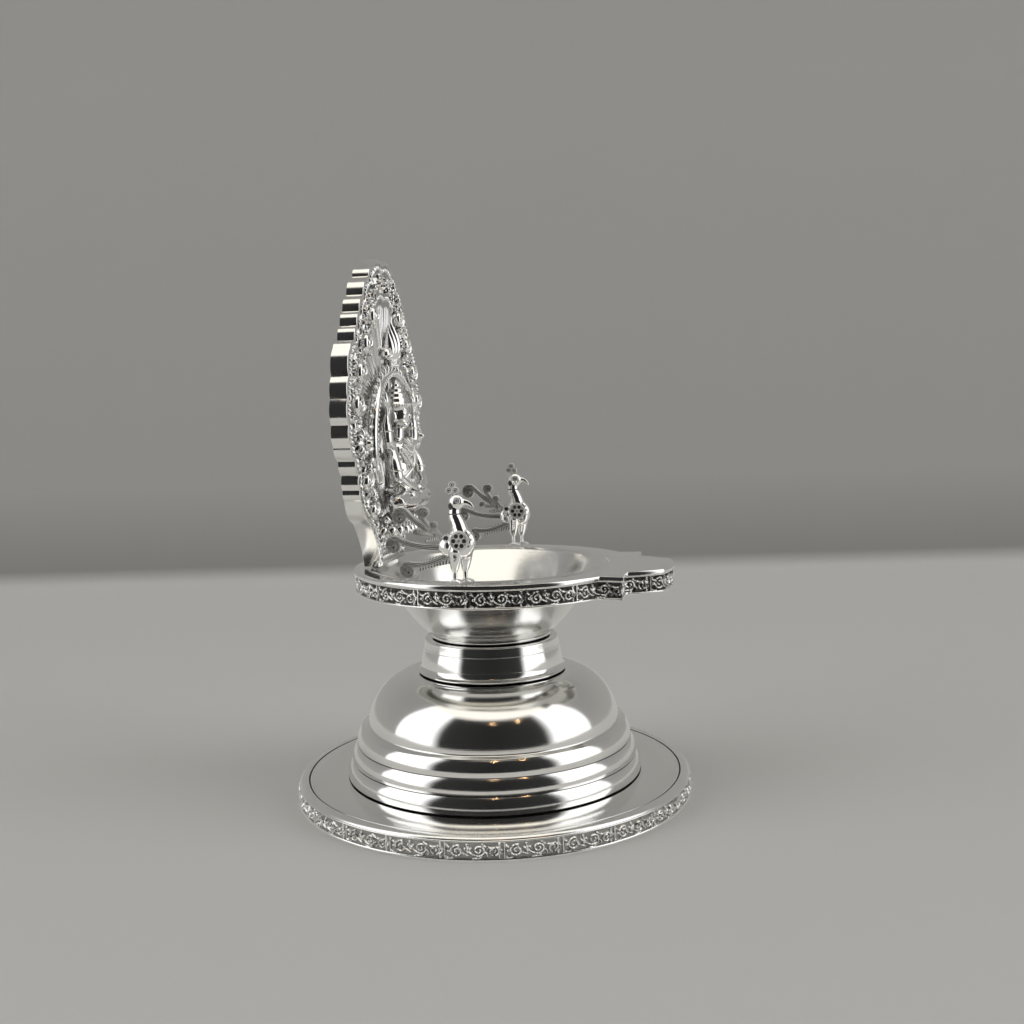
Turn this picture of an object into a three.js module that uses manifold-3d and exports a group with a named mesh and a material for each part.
// A devotional oil lamp in polished silver: a stepped spun stand, and on it a bowl set in a
// spouted tray with a scalloped back panel and a pair of filigree peacocks.
// Millimetres, +Z up. The origin is the centre of the foot's underside, +X points along the
// spout, and the lamp is symmetric about the plane Y = 0. Left is +Y, seen facing the spout.
import * as THREE from "three";
import { mergeVertices } from "three/addons/utils/BufferGeometryUtils.js";
import Module from "manifold-3d";

const wasm = await Module();
wasm.setup();

// Metal and joints
const SHEET = 1.0; // wall of every spun or stamped piece
const GAP = 0.3; // solder gap between two neighbouring pieces
const TURN_SEGMENTS = 40; // sides of a large turned piece
const PIN_SEGMENTS = 16; // sides of a small turned piece

// Foot
const FOOT_RADIUS = 45.0;
const FOOT_HEIGHT = 4.7;
const FOOT_LIP = 0.6; // height of the plain wire at the very bottom
const FOOT_FACE_RECESS = 0.4; // how far the stamped face lies behind that wire
const FOOT_COVE = 1.0; // width and height of the plain cove above the stamped face
const FOOT_WALL = 1.4;

// Stepped dome
const DOME_FOOT_RADIUS = 33.6;
const DOME_LEDGE = 2.6; // width of the sheet that the dome's foot covers on the shelf
const BAND_COUNT = 3;
const BAND_PITCH = 3.55; // height of one convex band
const BAND_STEP = 1.15; // how much smaller each band starts than the one below it
const BAND_TAPER = 1.0; // how much a band narrows from its foot to its crown
const BAND_BULGE = 0.35;
const BAND_GROOVE = 0.12; // height of the groove between two bands
const SHOULDER_STEP = 1.5; // set-back of the smooth dome above the top band
const SHOULDER_RISE = 0.45;
const DOME_HEIGHT = 11.5; // of the smooth dome alone

// Collar
const COLLAR_BASE_RADIUS = 16.9;
const COLLAR_WAIST_RADIUS = 16.1;
const COLLAR_TOP_RADIUS = 15.2;
const COLLAR_FLARE_HEIGHT = 1.7;
const COLLAR_HEIGHT = 7.7;
const COLLAR_ROUNDING = 0.7;

// Screwed union between the bowl and the stand
const STUD_RADIUS = 2.0;
const STUD_LENGTH = 7.6;
const STUD_FLANGE_RADIUS = 7.0;
const STUD_FLANGE_THICKNESS = 1.2;
const NUT_ACROSS_FLATS = 7.0;
const NUT_HEIGHT = 3.2;

// Bowl
const BOWL_SEAT_RADIUS = 13.8;
const BOWL_SEAT_WIDTH = 2.9;
const BOWL_FLOOR_LIFT = 1.8; // the floor's underside above the seat
const BOWL_HEIGHT = 16.2;
const BOWL_WALL = 1.2;
const BOWL_MOUTH_RADIUS = 26.0;
const BOWL_FLANK = [0.27, 0.26]; // of the way out and up from the seat to the mouth
const BOWL_BELLY = [0.68, 0.7];

// Tray; its polished top lies level with the bowl's mouth
const TRAY_HEIGHT = 5.0;
const TRAY_MARGIN = 6.1; // from the bowl's mouth to the edge of the round part
const TRAY_ROUND_X = 1.5;
const TRAY_VALLEY_Y = 18.6; // where the round part ends at each shoulder
const TRAY_SHOULDER_X = 32.8;
const TRAY_SHOULDER_Y = 19.4;
const SPOUT_ROOT_Y = 12.9;
const SPOUT_TIP_X = 41.9;
const SPOUT_TIP_FULLNESS = 8.3; // half width where the rounded tip starts
const SPOUT_TIP_ROUNDING = 1.6; // length of the rounded tip
const SPOUT_SIDE_BULGE = 0.3;
const TRAY_BAND_WALL = 1.2;
const TRAY_OVERHANG = 0.3; // of the sheet past the stamped band

// Back panel: half widths and heights above the tray of the notches between its lobes
const PANEL_NOTCHES = [
  [15.6, 10.5],
  [20.3, 15.8],
  [21.2, 18.2],
  [21.5, 21.2],
  [23.2, 24.5],
  [25.7, 27.8],
  [26.3, 32.2],
  [26.3, 37.7],
  [25.1, 42.3],
  [23.6, 48.1],
  [20.6, 50.0],
  [18.7, 53.1],
  [16.9, 56.2],
  [14.0, 59.9],
  [9.8, 64.2],
  [6.9, 66.8],
];
const PANEL_FOOT_HALF_WIDTH = 9.0;
const PANEL_FOOT_HOLLOW = 0.9; // of the flaring lower edge
const PANEL_HEIGHT = 67.9;
const PANEL_DEPTH = 3.9;
const PANEL_SETBACK = 3.1; // of the front face inside the bowl's mouth
const LOBE_BULGE = 0.17; // of a lobe's width
const STRIP_WALL = 0.9;

// Figure in relief on the panel; heights are above the tray, depths out of the front face
const SEAT_HEIGHT = 9.4;
const SEAT_HALF_WIDTH = 11.0;
const SEAT_DEPTH = 7.6;
const SEAT_THICKNESS = 4.6;
const LAP_HALF_WIDTH = 11.2;
const LAP_THICKNESS = 6.4;
const LAP_DEPTH = 7.8;
const TORSO_HALF_WIDTH = 4.2;
const TORSO_LENGTH = 13.0;
const TORSO_DEPTH = 5.4;
const SHOULDER_HALF_WIDTH = 6.4;
const CHEST_HALF_HEIGHT = 2.8;
const ARM_RADIUS = 1.45;
const HAND_RADIUS = 1.8;
const ELBOW_LIFT = 4.8; // of the elbow above the lap
const ELBOW_OUT = 2.0; // of the elbow past the shoulder
const LAP_HAND_Y = 3.0;
const RAISED_OUT = 3.6; // of the raised hand past the shoulder
const RAISED_LIFT = 4.0;
const NECK_RADIUS = 1.5;
const NECK_LENGTH = 2.2;
const HEAD_RADIUS = 3.4;
const HEAD_DEPTH = 5.6;
const CROWN_RADIUS = 2.8;
const ARCH_RADIUS = 14.8; // centreline of the halo arch
const ARCH_WIDTH = 2.0;
const ARCH_DEPTH = 2.4;
const ARCH_FOOT_DEG = 36; // of the arch below its own centre
const ARCH_SEGMENTS = 22;
const CREST_HALF_WIDTH = 4.6;
const CREST_LENGTH = 11.0;
const CREST_DEPTH = 4.2;
const ROSETTE_RADIUS = 3.4;
const ROSETTE_DEPTH = 3.0;

// Peacock; places are [x, height above the tray] in the bird's own plane
const BIRD_HALF_THICKNESS = 2.3;
const BIRD_BODY = [1.0, 8.4];
const BIRD_BODY_HALF_LENGTH = 3.1;
const BIRD_BODY_HALF_HEIGHT = 3.5;
const BIRD_RUMP = [-1.2, 7.4];
const BIRD_RUMP_HALF_HEIGHT = 2.0;
const BIRD_HEAD = [0.4, 16.7];
const BIRD_HEAD_RADIUS = 1.8;
const BIRD_BEAK_TIP = [3.9, 15.1];
const BIRD_BEAK_RADIUS = 0.9;
const BIRD_NECK_RADIUS = 1.05;
const CREST_STEM_TOP = [-0.4, 19.4];
const CREST_STEM_RADIUS = 0.4;
const CREST_BEAD_RADIUS = 0.8;
const CREST_BEADS = 3;
const WING_CENTRE = [1.2, 9.0];
const WING_RADIUS = 2.0;
const WING_PROUD = 0.5;
const LEG_RADIUS = 0.5;
const LEG_XS = [1.6, -0.2];
const LEG_SPREAD = 0.8; // half the distance between the legs across the bird
const TOE_LENGTH = 2.6;
const TOE_HEIGHT = 0.5;
const RIBBON_WIDTH = 0.5;
const RIBBON_DEPTH = 1.5;
const RIBBON_PITCH = 0.75; // between two turns of a scroll
const SCROLL_EYE_RADIUS = 0.35; // where a ribbon's centreline ends inside its scroll
const SCROLL_STEPS = 14; // pieces of one turn of a scroll
const UPPER_PLUMES = [
  { root: [-2.1, 9.0], eye: [-11.5, 13.7], radius: 2.2, from: 40, turn: 1 },
  { root: [-4.5, 10.3], eye: [-6.5, 14.5], radius: 1.6, from: 215, turn: -1 },
  { root: [-3.3, 9.6], eye: [-4.5, 11.9], radius: 1.3, from: 245, turn: -1 },
  { root: [-4.7, 10.2], eye: [-8.2, 10.5], radius: 1.15, from: 20, turn: 1 },
];
const MIDDLE_PLUMES = [
  { root: [-2.1, 7.5], eye: [-13.0, 7.8], radius: 2.2, from: 60, turn: 1 },
];
const LOWER_PLUMES = [
  { root: [-1.6, 5.9], eye: [-10.2, 2.6], radius: 2.1, from: 75, turn: 1 },
];
const FEATHER_OUTLINE = [
  [-0.8, 6.4],
  [-5.5, 5.1],
  [-8.4, 4.2],
  [-7.9, 2.5],
  [-5.0, 3.1],
  [-1.2, 4.1],
];
const FEATHER_DEPTH = 0.9;

// Heights that follow from the sizes above
const DOME_SEAT_Z = FOOT_HEIGHT + GAP;
const DOME_SHOULDER_Z = DOME_SEAT_Z + BAND_COUNT * BAND_PITCH + SHOULDER_RISE;
const DOME_TOP_Z = DOME_SHOULDER_Z + DOME_HEIGHT;
const COLLAR_Z = DOME_TOP_Z + GAP;
const COLLAR_TOP_Z = COLLAR_Z + COLLAR_HEIGHT;
const BOWL_Z = COLLAR_TOP_Z + GAP;
const BOWL_FLOOR_Z = BOWL_Z + BOWL_FLOOR_LIFT;
const TRAY_TOP_Z = BOWL_Z + BOWL_HEIGHT;
const TRAY_BOTTOM_Z = TRAY_TOP_Z - TRAY_HEIGHT;

// Places that follow from them
const BOWL_RIM_RADIUS = BOWL_MOUTH_RADIUS + BOWL_WALL;
const TRAY_ROUND_RADIUS = BOWL_MOUTH_RADIUS + TRAY_MARGIN;
const PANEL_FRONT_X = PANEL_SETBACK - BOWL_MOUTH_RADIUS;
const BIRD_Y = BOWL_MOUTH_RADIUS + TRAY_MARGIN / 2;
const LAP_Z = SEAT_HEIGHT + SEAT_THICKNESS / 2 + GAP + LAP_THICKNESS / 2;
const SHOULDER_Z = LAP_Z + TORSO_LENGTH;
const CHEST_Z = SHOULDER_Z - CHEST_HALF_HEIGHT / 2;
const HEAD_Z = SHOULDER_Z + NECK_LENGTH + HEAD_RADIUS;
const ROSETTE_Y = ARCH_RADIUS + ARCH_WIDTH / 2 + GAP + ROSETTE_RADIUS;

// Finishes
const polished = new THREE.MeshStandardMaterial({ color: 0xe9e9e6, roughness: 0.08, metalness: 1 });
const stamped = new THREE.MeshStandardMaterial({ color: 0xd2d2ce, roughness: 0.25, metalness: 1 });
const chased = new THREE.MeshStandardMaterial({ color: 0xe2e1dc, roughness: 0.18, metalness: 1 });
const filigree = new THREE.MeshStandardMaterial({ color: 0xa9a9a4, roughness: 0.3, metalness: 1 });
const brass = new THREE.MeshStandardMaterial({ color: 0xc9a860, roughness: 0.35, metalness: 1 });

const vector = ([x, y]) => new THREE.Vector2(x, y);

// A mesh with a node's name
function part(name, geometry, material) {
  const mesh = new THREE.Mesh(geometry, material);
  mesh.name = name;
  return mesh;
}

// Points of a bow from one point to another that stands off the straight line by rise
function bow(from, to, rise, steps) {
  const a = vector(from);
  const b = vector(to);
  const heading = b.clone().sub(a).normalize();
  const control = a.clone().add(b).multiplyScalar(0.5);
  control.x += 2 * rise * heading.y;
  control.y -= 2 * rise * heading.x;
  const curve = new THREE.QuadraticBezierCurve(a, control, b);
  return curve.getPoints(steps).map((p) => [p.x, p.y]);
}

// A closed [radius, z] profile turned about the Z axis
function turned(profile, segments = TURN_SEGMENTS) {
  const points = profile.map(vector);
  if (THREE.ShapeUtils.area(points) < 0) points.reverse();
  points.push(points[0].clone());
  return new THREE.LatheGeometry(points, segments).rotateX(Math.PI / 2);
}

// A flat shape given thickness, its own x and y kept as X and Y, from z = 0 up
function plate(shape, depth, curveSegments = PIN_SEGMENTS) {
  return new THREE.ExtrudeGeometry(shape, { depth, bevelEnabled: false, curveSegments });
}

// Stands a plate across the lamp: its x and y become Y and Z, its front face lies at X = front
function across(geometry, depth, front) {
  const axes = new THREE.Matrix4().makeBasis(
    new THREE.Vector3(0, 1, 0),
    new THREE.Vector3(0, 0, 1),
    new THREE.Vector3(1, 0, 0),
  );
  return geometry.applyMatrix4(axes).translate(front - depth, 0, 0);
}

// Stands a plate along the lamp: its x and y become X and Z, centred on the plane Y = 0
function along(geometry, depth) {
  return geometry.rotateX(Math.PI / 2).translate(0, depth / 2, 0);
}

// Solids for joins and cuts
function solid(geometry) {
  const flat = geometry.index ? geometry.toNonIndexed() : geometry;
  const bare = new THREE.BufferGeometry().setAttribute("position", flat.getAttribute("position"));
  const merged = mergeVertices(bare, 1e-4);
  return new wasm.Manifold(
    new wasm.Mesh({
      numProp: 3,
      vertProperties: merged.attributes.position.array,
      triVerts: new Uint32Array(merged.index.array),
    }),
  );
}

function geometryOf(made) {
  const mesh = made.getMesh();
  const geometry = new THREE.BufferGeometry();
  geometry.setAttribute("position", new THREE.BufferAttribute(mesh.vertProperties, 3));
  geometry.setIndex(new THREE.BufferAttribute(mesh.triVerts, 1));
  const faceted = geometry.toNonIndexed();
  faceted.computeVertexNormals();
  return faceted;
}

const joined = (solids) => solids.reduce((whole, next) => whole.add(next));

// An ellipsoid with its centre and its three half sizes
function ellipsoid(centre, halves, around = 12, along = 8) {
  return solid(new THREE.SphereGeometry(1, around, along).scale(...halves).translate(...centre));
}

// A round rod between two points, with a radius at each end
function rod(from, to, fromRadius, toRadius, sides = 8) {
  const a = new THREE.Vector3(...from);
  const b = new THREE.Vector3(...to);
  const length = a.distanceTo(b);
  const turn = new THREE.Quaternion().setFromUnitVectors(
    new THREE.Vector3(0, 1, 0),
    b.clone().sub(a).normalize(),
  );
  const middle = a.add(b).multiplyScalar(0.5);
  const geometry = new THREE.CylinderGeometry(toRadius, fromRadius, length, sides);
  return solid(geometry.applyQuaternion(turn).translate(middle.x, middle.y, middle.z));
}

// A closed outline moved inwards by a distance, corner by corner
function inset(points, distance) {
  const count = points.length;
  const inward = THREE.ShapeUtils.isClockWise(points) ? -1 : 1;
  return points.map((p, i) => {
    const before = points[(i + count - 1) % count];
    const after = points[(i + 1) % count];
    const a = p.clone().sub(before).normalize();
    const b = after.clone().sub(p).normalize();
    const normal = new THREE.Vector2(-a.y - b.y, a.x + b.x).normalize();
    const mitre = Math.max(normal.dot(new THREE.Vector2(-a.y, a.x)), 0.6);
    return p.clone().addScaledVector(normal, (inward * distance) / mitre);
  });
}

// A hoop of sheet on edge that follows an outline, its wall inside the outline
function hoop(outline, wall, height) {
  const full = solid(plate(new THREE.Shape(outline), height));
  const core = plate(new THREE.Shape(inset(outline, wall)), 2 * height);
  return full.subtract(solid(core.translate(0, 0, -height / 2)));
}

// An outline mirrored about its own y axis, from the half with x >= 0 that starts at the bottom
function mirrored(half) {
  const other = half.filter(([x]) => x > 1e-6).map(([x, y]) => [-x, y]);
  return [...half, ...other.reverse()].map(vector);
}

// Foot: a stamped gallery strip with a plain wire below it and a cove above it
function footBand() {
  const face = FOOT_RADIUS - FOOT_FACE_RECESS;
  const crown = FOOT_RADIUS - FOOT_COVE;
  const inner = crown - FOOT_WALL;
  return turned([
    [FOOT_RADIUS, 0],
    [FOOT_RADIUS, FOOT_LIP],
    [face, FOOT_LIP + FOOT_FACE_RECESS],
    [face, FOOT_HEIGHT - FOOT_COVE],
    [crown, FOOT_HEIGHT],
    [inner, FOOT_HEIGHT],
    [inner, 0],
  ]);
}

// The flat ring inside the gallery strip that the dome stands on
function footShelf() {
  const outer = FOOT_RADIUS - FOOT_COVE - FOOT_WALL - GAP;
  const inner = DOME_FOOT_RADIUS - DOME_LEDGE;
  return turned([
    [outer, FOOT_HEIGHT - SHEET],
    [outer, FOOT_HEIGHT],
    [inner, FOOT_HEIGHT],
    [inner, FOOT_HEIGHT - SHEET],
  ]);
}

// The smooth dome's section, from the shoulder to the collar
function domeSection(offset, steps) {
  const shoulder = DOME_FOOT_RADIUS - BAND_COUNT * BAND_STEP - SHOULDER_STEP - offset;
  const top = COLLAR_BASE_RADIUS + 0.5 * SHEET;
  const topZ = DOME_TOP_Z - offset;
  const side = new THREE.Vector2(shoulder, DOME_SHOULDER_Z + 0.47 * DOME_HEIGHT);
  const cap = new THREE.Vector2(top + 0.58 * (shoulder - top), topZ);
  const start = new THREE.Vector2(shoulder, DOME_SHOULDER_Z);
  const curve = new THREE.CubicBezierCurve(start, side, cap, new THREE.Vector2(top, topZ));
  return curve.getPoints(steps).map((p) => [p.x, p.y]);
}

function steppedDome() {
  const outer = [];
  const inner = [];
  for (let band = 0; band < BAND_COUNT; band += 1) {
    const radius = DOME_FOOT_RADIUS - band * BAND_STEP;
    const z = DOME_SEAT_Z + band * BAND_PITCH;
    const crown = [radius - BAND_TAPER, z + BAND_PITCH - BAND_GROOVE];
    outer.push(...bow([radius, z], crown, BAND_BULGE, 3));
    inner.push([radius - BAND_TAPER - SHEET, z]);
  }
  outer.push(...domeSection(0, 8));
  const mouth = COLLAR_BASE_RADIUS - 2 * SHEET;
  outer.push([mouth, DOME_TOP_Z]);
  inner.push(...domeSection(SHEET, 6));
  inner.push([mouth, DOME_TOP_Z - SHEET]);
  return turned([...outer, ...inner.reverse()]);
}

function collar() {
  const wall = COLLAR_TOP_RADIUS - SHEET;
  const bore = STUD_RADIUS + GAP;
  const waistZ = COLLAR_Z + COLLAR_FLARE_HEIGHT;
  const edgeZ = COLLAR_TOP_Z - COLLAR_ROUNDING;
  return turned([
    [COLLAR_BASE_RADIUS, COLLAR_Z],
    ...bow([COLLAR_BASE_RADIUS, COLLAR_Z + 0.4], [COLLAR_WAIST_RADIUS, waistZ], -0.15, 3),
    ...bow([COLLAR_TOP_RADIUS, edgeZ], [COLLAR_TOP_RADIUS - COLLAR_ROUNDING, COLLAR_TOP_Z], 0.2, 2),
    [bore, COLLAR_TOP_Z],
    [bore, COLLAR_TOP_Z - SHEET],
    [wall, COLLAR_TOP_Z - SHEET],
    [wall, COLLAR_Z],
  ]);
}

// Threaded stud under the bowl, and the nut that is soldered below the collar's top
function unionStud() {
  const flangeTop = BOWL_FLOOR_Z - GAP;
  const flangeBottom = flangeTop - STUD_FLANGE_THICKNESS;
  return turned(
    [
      [0, flangeTop],
      [STUD_FLANGE_RADIUS, flangeTop],
      [STUD_FLANGE_RADIUS, flangeBottom],
      [STUD_RADIUS, flangeBottom],
      [STUD_RADIUS, flangeBottom - STUD_LENGTH + GAP],
      [STUD_RADIUS - GAP, flangeBottom - STUD_LENGTH],
      [0, flangeBottom - STUD_LENGTH],
    ],
    PIN_SEGMENTS,
  );
}

function unionNut() {
  const hexagon = new THREE.Shape();
  const corner = NUT_ACROSS_FLATS / Math.sqrt(3);
  for (let side = 0; side < 6; side += 1) {
    const angle = (side * Math.PI) / 3;
    const point = [corner * Math.cos(angle), corner * Math.sin(angle)];
    if (side === 0) hexagon.moveTo(...point);
    else hexagon.lineTo(...point);
  }
  hexagon.holes.push(new THREE.Path().absarc(0, 0, STUD_RADIUS + GAP, 0, 2 * Math.PI, true));
  return plate(hexagon, NUT_HEIGHT).translate(0, 0, COLLAR_TOP_Z - SHEET - GAP - NUT_HEIGHT);
}

// Bowl: a seat ring, a raised floor and a flared side up to the mouth
function bowl() {
  const seatInner = BOWL_SEAT_RADIUS - BOWL_SEAT_WIDTH;
  const floorTop = BOWL_FLOOR_Z + SHEET;
  const flare = ([out, up]) =>
    new THREE.Vector2(
      BOWL_SEAT_RADIUS + out * (BOWL_RIM_RADIUS - BOWL_SEAT_RADIUS),
      BOWL_Z + up * BOWL_HEIGHT,
    );
  const side = new THREE.SplineCurve([[0, 0.03], BOWL_FLANK, BOWL_BELLY, [1, 1]].map(flare));
  const outer = side.getPoints(8).map((p) => [p.x, p.y]);
  const inner = outer.filter(([, z]) => z > floorTop + SHEET / 2).map(([r, z]) => [r - BOWL_WALL, z]);
  return turned([
    [seatInner, BOWL_Z],
    [BOWL_SEAT_RADIUS, BOWL_Z],
    ...outer,
    ...inner.reverse(),
    [inner.at(-1)[0] - SHEET, floorTop],
    [0, floorTop],
    [0, BOWL_FLOOR_Z],
    [seatInner, BOWL_FLOOR_Z],
  ]);
}

// Half of the tray's outline as [y, x]: a round back, a stepped shoulder and a blunt spout
function trayOutline() {
  const meet = Math.PI - Math.asin(TRAY_VALLEY_Y / TRAY_ROUND_RADIUS);
  const round = [];
  const steps = 18;
  for (let step = 0; step <= steps; step += 1) {
    const angle = -Math.PI + (step / steps) * meet;
    const x = TRAY_ROUND_X + TRAY_ROUND_RADIUS * Math.cos(angle);
    round.push([-TRAY_ROUND_RADIUS * Math.sin(angle), x]);
  }
  const shoulder = [TRAY_SHOULDER_Y, TRAY_SHOULDER_X];
  const root = [SPOUT_ROOT_Y, TRAY_SHOULDER_X];
  const tipStart = [SPOUT_TIP_FULLNESS, SPOUT_TIP_X - SPOUT_TIP_ROUNDING];
  const tongue = bow(root, tipStart, SPOUT_SIDE_BULGE, 4);
  const tip = bow(tipStart, [0, SPOUT_TIP_X], 0.25 * SPOUT_TIP_ROUNDING, 5).slice(1);
  return mirrored([...round, shoulder, ...tongue, ...tip]).map((p) => new THREE.Vector2(p.y, p.x));
}

function trayPlate() {
  const shape = new THREE.Shape(trayOutline());
  const hole = [];
  for (let side = 0; side < TURN_SEGMENTS; side += 1) {
    const angle = (2 * Math.PI * side) / TURN_SEGMENTS;
    const radius = BOWL_RIM_RADIUS + GAP;
    hole.push(new THREE.Vector2(radius * Math.cos(angle), radius * Math.sin(angle)));
  }
  shape.holes.push(new THREE.Path(hole));
  return plate(shape, SHEET).translate(0, 0, TRAY_TOP_Z - SHEET);
}

function trayBand() {
  const outline = inset(trayOutline(), TRAY_OVERHANG);
  const height = TRAY_HEIGHT - SHEET - GAP;
  return geometryOf(hoop(outline, TRAY_BAND_WALL, height)).translate(0, 0, TRAY_BOTTOM_Z);
}

// Panel outline: a straight foot, a flaring lower edge, then lobes between notches up to the tip
function panelOutline() {
  const foot = [PANEL_FOOT_HALF_WIDTH, 0];
  const half = bow(foot, PANEL_NOTCHES[0], -PANEL_FOOT_HOLLOW, 4);
  PANEL_NOTCHES.forEach((notch, i) => {
    const next = PANEL_NOTCHES[i + 1] ?? [0, PANEL_HEIGHT];
    const width = vector(notch).distanceTo(vector(next));
    half.push(...bow(notch, next, LOBE_BULGE * width, width < 4 ? 3 : 4).slice(1));
  });
  return mirrored(half);
}

function panelSheet(front) {
  const outline = inset(panelOutline(), STRIP_WALL + GAP);
  return across(plate(new THREE.Shape(outline), SHEET), SHEET, front);
}

function panelStrip() {
  return across(geometryOf(hoop(panelOutline(), STRIP_WALL, PANEL_DEPTH)), PANEL_DEPTH, 0);
}

// Everything in relief keeps clear of the front sheet by the solder gap
function inFrontOfPanel(made) {
  const reach = 2 * PANEL_HEIGHT;
  const space = new THREE.BoxGeometry(reach, reach, reach);
  return geometryOf(made.intersect(solid(space.translate(GAP + reach / 2, 0, reach / 2))));
}

function deityFigure() {
  const headX = 0.35 * HEAD_DEPTH;
  const neckX = 0.5 * HEAD_DEPTH;
  const lap = ellipsoid([0, 0, LAP_Z], [LAP_DEPTH, LAP_HALF_WIDTH, LAP_THICKNESS / 2], 14, 8);
  const torsoMiddle = LAP_Z + TORSO_LENGTH / 2;
  const torso = ellipsoid([0, 0, torsoMiddle], [TORSO_DEPTH, TORSO_HALF_WIDTH, 0.62 * TORSO_LENGTH]);
  const chestHalves = [0.8 * TORSO_DEPTH, SHOULDER_HALF_WIDTH, CHEST_HALF_HEIGHT];
  const chest = ellipsoid([0, 0, CHEST_Z], chestHalves);
  const neck = rod([neckX, 0, SHOULDER_Z], [neckX, 0, HEAD_Z], NECK_RADIUS, NECK_RADIUS);
  const headHalves = [0.65 * HEAD_DEPTH, 0.9 * HEAD_RADIUS, HEAD_RADIUS];
  const head = ellipsoid([headX, 0, HEAD_Z], headHalves);
  const brow = [headX, 0, HEAD_Z + 0.55 * HEAD_RADIUS];
  const crownTop = [headX, 0, SHOULDER_Z + ARCH_RADIUS - ARCH_WIDTH / 2 - GAP];
  const crown = rod(brow, crownTop, CROWN_RADIUS, 0.3 * CROWN_RADIUS, 10);
  const arms = [-1, 1].flatMap((side) => {
    const joint = [0.5 * TORSO_DEPTH, side * SHOULDER_HALF_WIDTH, CHEST_Z];
    const elbow = [0.6 * LAP_DEPTH, side * (SHOULDER_HALF_WIDTH + ELBOW_OUT), LAP_Z + ELBOW_LIFT];
    const hand = [0.85 * LAP_DEPTH, side * LAP_HAND_Y, LAP_Z + 0.4 * ELBOW_LIFT];
    const raisedY = side * (SHOULDER_HALF_WIDTH + RAISED_OUT);
    const raised = [0.5 * TORSO_DEPTH, raisedY, SHOULDER_Z + RAISED_LIFT];
    return [
      rod(joint, elbow, ARM_RADIUS, ARM_RADIUS, 6),
      rod(elbow, hand, ARM_RADIUS, 0.8 * ARM_RADIUS, 6),
      rod(joint, raised, ARM_RADIUS, 0.8 * ARM_RADIUS, 6),
      ellipsoid(raised, [HAND_RADIUS, HAND_RADIUS, HAND_RADIUS], 8, 6),
    ];
  });
  const figure = joined([lap, torso, chest, neck, head, crown, ...arms]);
  return inFrontOfPanel(figure.subtract(archSolid(GAP)));
}

// Lotus throne: two tiers of petals as one rounded slab
function lotusSeat() {
  const half = SEAT_THICKNESS / 2;
  const slab = ellipsoid([0, 0, SEAT_HEIGHT], [SEAT_DEPTH, SEAT_HALF_WIDTH, 1.5 * half], 18, 8);
  const space = new THREE.BoxGeometry(4 * SEAT_DEPTH, 4 * SEAT_HALF_WIDTH, SEAT_THICKNESS);
  return inFrontOfPanel(slab.intersect(solid(space.translate(0, 0, SEAT_HEIGHT))));
}

// Horseshoe arch behind the figure, from beside the lap over the crown
function archSolid(grow) {
  const path = new THREE.Shape();
  const half = ARCH_WIDTH / 2 + grow;
  const foot = THREE.MathUtils.degToRad(ARCH_FOOT_DEG);
  path.absarc(0, SHOULDER_Z, ARCH_RADIUS + half, -foot, Math.PI + foot, false);
  path.absarc(0, SHOULDER_Z, ARCH_RADIUS - half, Math.PI + foot, -foot, true);
  const depth = ARCH_DEPTH + 2 * grow;
  return solid(across(plate(path, depth, ARCH_SEGMENTS), depth, ARCH_DEPTH + GAP + grow));
}

// Bud with two side leaves near the panel's tip
function crestOrnament() {
  const z = SHOULDER_Z + ARCH_RADIUS + ARCH_WIDTH / 2 + GAP + CREST_LENGTH / 2;
  const bud = ellipsoid([0, 0, z], [CREST_DEPTH, 0.5 * CREST_HALF_WIDTH, CREST_LENGTH / 2], 10, 8);
  const leaves = [-1, 1].map((side) => {
    const middle = [0, side * 0.55 * CREST_HALF_WIDTH, z - 0.12 * CREST_LENGTH];
    return ellipsoid(middle, [0.7 * CREST_DEPTH, 0.45 * CREST_HALF_WIDTH, 0.28 * CREST_LENGTH], 10, 6);
  });
  return inFrontOfPanel(joined([bud, ...leaves]));
}

function rosette(side) {
  const centre = [0, side * ROSETTE_Y, SHOULDER_Z];
  const disc = ellipsoid(centre, [0.6 * ROSETTE_DEPTH, ROSETTE_RADIUS, ROSETTE_RADIUS], 14, 8);
  const boss = ellipsoid(centre, [ROSETTE_DEPTH, 0.4 * ROSETTE_RADIUS, 0.4 * ROSETTE_RADIUS], 10, 6);
  return inFrontOfPanel(disc.add(boss));
}

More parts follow.
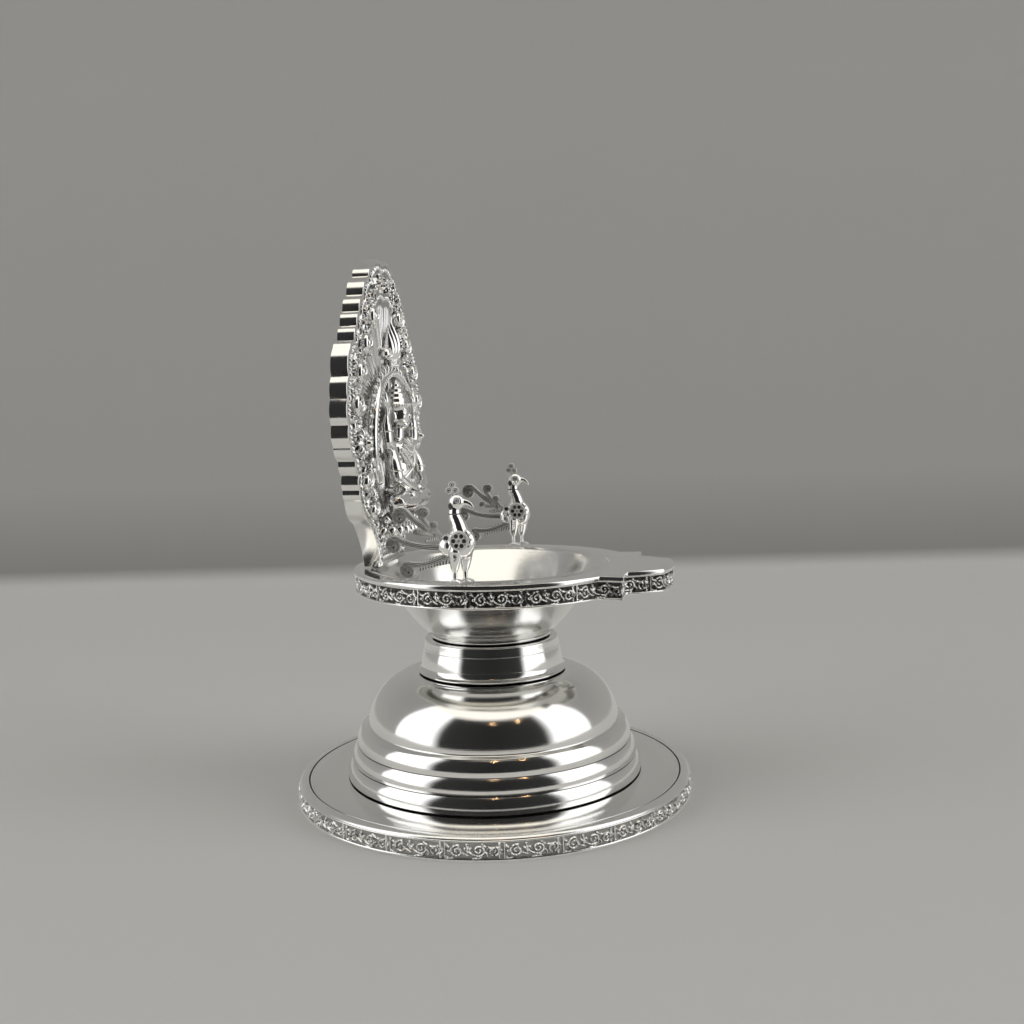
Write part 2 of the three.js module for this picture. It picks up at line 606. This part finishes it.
// Peacock: body, rump, neck, head and beak as one casting; grow adds clearance for what meets it
function birdSolid(grow) {
  const thick = BIRD_HALF_THICKNESS + grow;
  const [bodyX, bodyZ] = BIRD_BODY;
  const halves = [BIRD_BODY_HALF_LENGTH + grow, thick, BIRD_BODY_HALF_HEIGHT + grow];
  const [rumpX, rumpZ] = BIRD_RUMP;
  const rumpHalves = [BIRD_BODY_HALF_LENGTH + grow, 0.7 * thick, BIRD_RUMP_HALF_HEIGHT + grow];
  const [headX, headZ] = BIRD_HEAD;
  const skull = BIRD_HEAD_RADIUS + grow;
  const neckRadius = BIRD_NECK_RADIUS + grow;
  const nape = [headX - 0.28 * BIRD_HEAD_RADIUS, 0, headZ - 0.78 * BIRD_HEAD_RADIUS];
  const throat = [nape[0] + 0.2, 0, bodyZ + 1.1 * BIRD_BODY_HALF_HEIGHT];
  const chest = [bodyX, 0, bodyZ + 0.15 * BIRD_BODY_HALF_HEIGHT];
  const beak = [headX + 0.5 * BIRD_HEAD_RADIUS, 0, headZ - 0.1 * BIRD_HEAD_RADIUS];
  const beakTip = [BIRD_BEAK_TIP[0], 0, BIRD_BEAK_TIP[1]];
  return joined([
    ellipsoid([bodyX, 0, bodyZ], halves),
    ellipsoid([rumpX, 0, rumpZ], rumpHalves, 10, 6),
    rod(nape, throat, neckRadius, neckRadius),
    rod(throat, chest, neckRadius, 1.9 * neckRadius),
    ellipsoid([headX, 0, headZ], [skull, 0.85 * skull, skull], 10, 8),
    rod(beak, beakTip, BIRD_BEAK_RADIUS + grow, 0.2 * BIRD_BEAK_RADIUS + grow, 6),
  ]);
}

function birdCrest() {
  const [x, z] = CREST_STEM_TOP;
  const spread = 0.95 * CREST_BEAD_RADIUS;
  const beads = Array.from({ length: CREST_BEADS }, (_, i) => {
    const angle = Math.PI / 2 + (2 * Math.PI * i) / CREST_BEADS;
    const centre = [x + spread * Math.cos(angle), 0, z + spread * Math.sin(angle)];
    return ellipsoid(centre, [CREST_BEAD_RADIUS, CREST_BEAD_RADIUS, CREST_BEAD_RADIUS], 8, 6);
  });
  const [headX, headZ] = BIRD_HEAD;
  const stem = rod([headX, 0, headZ], [x, 0, z], CREST_STEM_RADIUS, CREST_STEM_RADIUS, 6);
  return geometryOf(joined([stem, ...beads]).subtract(birdSolid(GAP)));
}

// Round pierced wing plate on one flank
function birdWing(side) {
  const inner = 0.6 * BIRD_HALF_THICKNESS;
  const outer = BIRD_HALF_THICKNESS + WING_PROUD;
  const [x, z] = WING_CENTRE;
  const disc = rod([x, side * inner, z], [x, side * outer, z], WING_RADIUS, WING_RADIUS, 14);
  return geometryOf(disc.subtract(birdSolid(GAP)));
}

function birdLegs() {
  const legs = LEG_XS.flatMap((x, i) => {
    const y = i === 0 ? LEG_SPREAD : -LEG_SPREAD;
    const ankle = [x, y, GAP];
    const hip = [x, y, BIRD_BODY[1] - 0.5 * BIRD_BODY_HALF_HEIGHT];
    const toe = new THREE.BoxGeometry(TOE_LENGTH, 2.4 * LEG_SPREAD, TOE_HEIGHT);
    return [
      rod(ankle, hip, LEG_RADIUS, 1.3 * LEG_RADIUS, 6),
      solid(toe.translate(x + 0.2 * TOE_LENGTH, 0, GAP + TOE_HEIGHT / 2)),
    ];
  });
  return geometryOf(joined(legs).subtract(birdSolid(GAP)));
}

// A plume's centreline: a stem from its root to the scroll's rim, then a spiral towards the eye
function plumeLine({ root, eye, radius, from, turn }) {
  const rim = radius - RIBBON_WIDTH / 2;
  const turns = (rim - SCROLL_EYE_RADIUS) / RIBBON_PITCH;
  const start = THREE.MathUtils.degToRad(from);
  const point = (sweep) => {
    const angle = start + turn * sweep;
    const reach = rim - (RIBBON_PITCH * sweep) / (2 * Math.PI);
    return new THREE.Vector2(eye[0] + reach * Math.cos(angle), eye[1] + reach * Math.sin(angle));
  };
  const first = point(0);
  const heading = new THREE.Vector2(-turn * Math.sin(start), turn * Math.cos(start));
  const control = first.clone().addScaledVector(heading, -0.4 * first.distanceTo(vector(root)));
  const stem = new THREE.QuadraticBezierCurve(vector(root), control, first).getPoints(4);
  const steps = Math.round(SCROLL_STEPS * turns);
  for (let step = 1; step <= steps; step += 1) stem.push(point((2 * Math.PI * turns * step) / steps));
  return stem;
}

// A ribbon of constant width along a centreline, standing along the lamp
function ribbon(centreline) {
  const edge = (side) =>
    centreline.map((p, i) => {
      const before = centreline[Math.max(i - 1, 0)];
      const after = centreline[Math.min(i + 1, centreline.length - 1)];
      const heading = after.clone().sub(before).normalize();
      const offset = (side * RIBBON_WIDTH) / 2;
      return new THREE.Vector2(p.x - heading.y * offset, p.y + heading.x * offset);
    });
  const outline = new THREE.Shape([...edge(1), ...edge(-1).reverse()]);
  return solid(along(plate(outline, RIBBON_DEPTH), RIBBON_DEPTH));
}

function plumes(list, feathers = []) {
  const ribbons = list.map((plume) => ribbon(plumeLine(plume)));
  return geometryOf(joined([...ribbons, ...feathers]).subtract(birdSolid(GAP)));
}

function feather() {
  const outline = new THREE.Shape(FEATHER_OUTLINE.map(vector));
  return solid(along(plate(outline, FEATHER_DEPTH), FEATHER_DEPTH));
}

// One bird's pieces, standing on the tray at one side
function peacock(side) {
  const name = side > 0 ? "peacock_left" : "peacock_right";
  const bird = new THREE.Group();
  bird.add(part(`${name}_body`, geometryOf(birdSolid(0)), chased));
  bird.add(part(`${name}_crest`, birdCrest(), filigree));
  bird.add(part(`${name}_wing_outer`, birdWing(side), filigree));
  bird.add(part(`${name}_wing_inner`, birdWing(-side), filigree));
  bird.add(part(`${name}_legs`, birdLegs(), chased));
  bird.add(part(`${name}_tail_upper`, plumes(UPPER_PLUMES), filigree));
  bird.add(part(`${name}_tail_middle`, plumes(MIDDLE_PLUMES), filigree));
  bird.add(part(`${name}_tail_lower`, plumes(LOWER_PLUMES, [feather()]), filigree));
  bird.position.set(0, side * BIRD_Y, TRAY_TOP_Z);
  return bird;
}

function stand() {
  const group = new THREE.Group();
  group.add(part("foot_band", footBand(), stamped));
  group.add(part("foot_shelf", footShelf(), polished));
  group.add(part("stepped_dome", steppedDome(), polished));
  group.add(part("collar", collar(), polished));
  group.add(part("union_nut", unionNut(), brass));
  return group;
}

function backPanel() {
  const group = new THREE.Group();
  group.add(part("panel_edge_strip", panelStrip(), polished));
  group.add(part("panel_front_sheet", panelSheet(0), chased));
  group.add(part("panel_back_sheet", panelSheet(SHEET - PANEL_DEPTH), polished));
  group.add(part("halo_arch", geometryOf(archSolid(0)), chased));
  group.add(part("lotus_seat", lotusSeat(), chased));
  group.add(part("deity_figure", deityFigure(), chased));
  group.add(part("crest_ornament", crestOrnament(), chased));
  group.add(part("rosette_left", rosette(1), chased));
  group.add(part("rosette_right", rosette(-1), chased));
  group.position.set(PANEL_FRONT_X, 0, TRAY_TOP_Z + GAP);
  return group;
}

function head() {
  const group = new THREE.Group();
  group.add(part("union_stud", unionStud(), brass));
  group.add(part("bowl", bowl(), polished));
  group.add(part("tray_plate", trayPlate(), polished));
  group.add(part("tray_band", trayBand(), stamped));
  group.add(backPanel());
  group.add(peacock(1));
  group.add(peacock(-1));
  return group;
}

const lamp = new THREE.Group();
lamp.add(stand());
lamp.add(head());

export default lamp;
